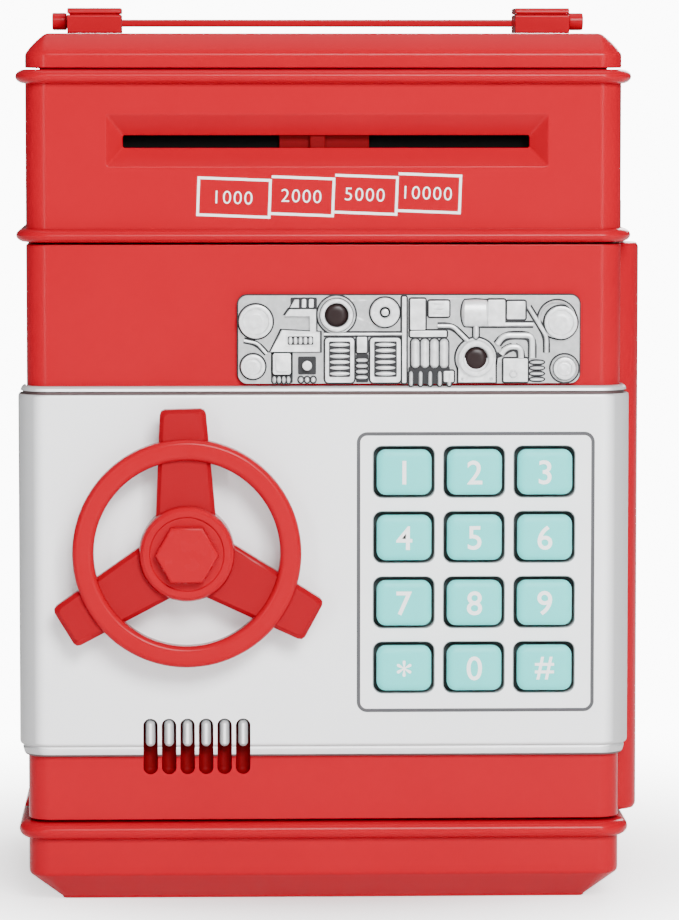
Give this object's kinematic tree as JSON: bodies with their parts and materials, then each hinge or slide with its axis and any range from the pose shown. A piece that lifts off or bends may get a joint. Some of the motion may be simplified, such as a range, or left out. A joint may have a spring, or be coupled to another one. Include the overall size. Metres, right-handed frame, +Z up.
{
  "type": "toy safe coin bank",
  "caption": "Toy safe money bank with a hinged keypad door, a spoked handwheel latch, a motor-fed note slot, a coin slot and a folding carry handle.",
  "frame": {"origin": "centre of the flat underside, where the bank rests", "axes": "+Z up, the door and keypad face -Y, +X to the right of a viewer who faces the door"},
  "size_m": [0.1326, 0.1227, 0.1904],
  "materials": {
    "red_shell": "moulded, satin gloss",
    "red_wheel": "moulded gloss",
    "silver_panel": "silver paint on plastic",
    "mint_keys": "soft satin",
    "dark_lens": "tinted, glossy",
    "black_plastic": "matte",
    "white_plastic": "matte",
    "steel": "plated",
    "brass": "machined",
    "black_rubber": "matte",
    "circuit_board": "solder-masked board",
    "cell_sleeve": "printed sleeve, plain"
  },
  "bodies": {
    "cabinet": {"base_tray": "red_shell", "case_screw_1": "steel", "case_screw_2": "steel", "case_screw_3": "steel", "case_screw_4": "steel", "cabinet_shell": "red_shell", "head_shell": "red_shell", "top_cap": "red_shell", "handle_lug_left": "red_shell", "handle_lug_right": "red_shell", "head_floor": "white_plastic", "coin_chute": "white_plastic", "note_chute": "white_plastic", "roller_cheek_left": "white_plastic", "roller_cheek_right": "white_plastic", "feed_motor": "steel", "battery_box": "black_plastic", "battery_cell_1": "cell_sleeve", "battery_cell_2": "cell_sleeve", "battery_cell_3": "cell_sleeve", "battery_cover": "red_shell", "battery_cover_screw": "steel", "hinge_pin": "steel", "latch_keeper": "steel"},
    "feed_roller": {"feed_roller_shaft": "steel", "feed_tyre_left": "black_rubber", "feed_tyre_right": "black_rubber", "feed_gear": "white_plastic"},
    "motor_pinion": {"motor_pinion": "brass"},
    "pinch_roller": {"pinch_roller": "white_plastic"},
    "door": {"door_shell": "red_shell", "door_panel": "silver_panel", "mechanism_plate": "silver_panel", "indicator_lens_1": "dark_lens", "indicator_lens_2": "dark_lens", "keypad_membrane": "black_rubber", "keypad_board": "circuit_board", "speaker": "black_plastic", "door_inner_cover": "white_plastic", "lock_solenoid": "steel"},
    "lock_plunger": {"lock_plunger": "steel"},
    "handwheel": {"handwheel": "red_wheel", "hub_cap": "red_wheel", "wheel_shaft": "steel", "latch_tongue": "steel"},
    "carry_handle": {"carry_handle": "red_shell"},
    "key_1": {"key_1": "mint_keys"},
    "key_2": {"key_2": "mint_keys"},
    "key_3": {"key_3": "mint_keys"},
    "key_4": {"key_4": "mint_keys"},
    "key_5": {"key_5": "mint_keys"},
    "key_6": {"key_6": "mint_keys"},
    "key_7": {"key_7": "mint_keys"},
    "key_8": {"key_8": "mint_keys"},
    "key_9": {"key_9": "mint_keys"},
    "key_star": {"key_star": "mint_keys"},
    "key_0": {"key_0": "mint_keys"},
    "key_hash": {"key_hash": "mint_keys"}
  },
  "joints": [
    {"name": "door_hinge", "type": "hinge", "parent": "cabinet", "child": "door", "pos_m": [0.0622, -0.038, 0.079], "axis": [0, 0, 1], "range_deg": [0, 110]},
    {"name": "handwheel_turn", "type": "hinge", "parent": "door", "child": "handwheel", "pos_m": [-0.0292, -0.059, 0.0758], "axis": [0, 1, 0], "range_deg": [-90, 0]},
    {"name": "lock_plunger_slide", "type": "slide", "parent": "door", "child": "lock_plunger", "axis": [0, 0, 1], "range_m": [0, 0.003], "stiffness_N_per_m": 120},
    {"name": "carry_handle_fold", "type": "hinge", "parent": "cabinet", "child": "carry_handle", "pos_m": [0, 0, 0.1875], "axis": [1, 0, 0], "range_deg": [0, 90]},
    {"name": "feed_roller_spin", "type": "hinge", "parent": "cabinet", "child": "feed_roller", "pos_m": [0, -0.036, 0.1565], "axis": [1, 0, 0], "continuous": true},
    {"name": "motor_pinion_spin", "type": "hinge", "parent": "cabinet", "child": "motor_pinion", "pos_m": [0.049, -0.028, 0.14995], "axis": [1, 0, 0], "continuous": true},
    {"name": "pinch_roller_spin", "type": "hinge", "parent": "cabinet", "child": "pinch_roller", "pos_m": [0, -0.036, 0.1653], "axis": [1, 0, 0], "continuous": true},
    {"name": "key_1_press", "type": "slide", "parent": "door", "child": "key_1", "axis": [0, 1, 0], "range_m": [0, 0.0012], "stiffness_N_per_m": 500},
    {"name": "key_2_press", "type": "slide", "parent": "door", "child": "key_2", "axis": [0, 1, 0], "range_m": [0, 0.0012], "stiffness_N_per_m": 500},
    {"name": "key_3_press", "type": "slide", "parent": "door", "child": "key_3", "axis": [0, 1, 0], "range_m": [0, 0.0012], "stiffness_N_per_m": 500},
    {"name": "key_4_press", "type": "slide", "parent": "door", "child": "key_4", "axis": [0, 1, 0], "range_m": [0, 0.0012], "stiffness_N_per_m": 500},
    {"name": "key_5_press", "type": "slide", "parent": "door", "child": "key_5", "axis": [0, 1, 0], "range_m": [0, 0.0012], "stiffness_N_per_m": 500},
    {"name": "key_6_press", "type": "slide", "parent": "door", "child": "key_6", "axis": [0, 1, 0], "range_m": [0, 0.0012], "stiffness_N_per_m": 500},
    {"name": "key_7_press", "type": "slide", "parent": "door", "child": "key_7", "axis": [0, 1, 0], "range_m": [0, 0.0012], "stiffness_N_per_m": 500},
    {"name": "key_8_press", "type": "slide", "parent": "door", "child": "key_8", "axis": [0, 1, 0], "range_m": [0, 0.0012], "stiffness_N_per_m": 500},
    {"name": "key_9_press", "type": "slide", "parent": "door", "child": "key_9", "axis": [0, 1, 0], "range_m": [0, 0.0012], "stiffness_N_per_m": 500},
    {"name": "key_star_press", "type": "slide", "parent": "door", "child": "key_star", "axis": [0, 1, 0], "range_m": [0, 0.0012], "stiffness_N_per_m": 500},
    {"name": "key_0_press", "type": "slide", "parent": "door", "child": "key_0", "axis": [0, 1, 0], "range_m": [0, 0.0012], "stiffness_N_per_m": 500},
    {"name": "key_hash_press", "type": "slide", "parent": "door", "child": "key_hash", "axis": [0, 1, 0], "range_m": [0, 0.0012], "stiffness_N_per_m": 500}
  ],
  "couplings": [
    {"joint": "motor_pinion_spin", "follows": "feed_roller_spin", "ratio": -2.4},
    {"joint": "pinch_roller_spin", "follows": "feed_roller_spin", "ratio": -1.6667}
  ]
}
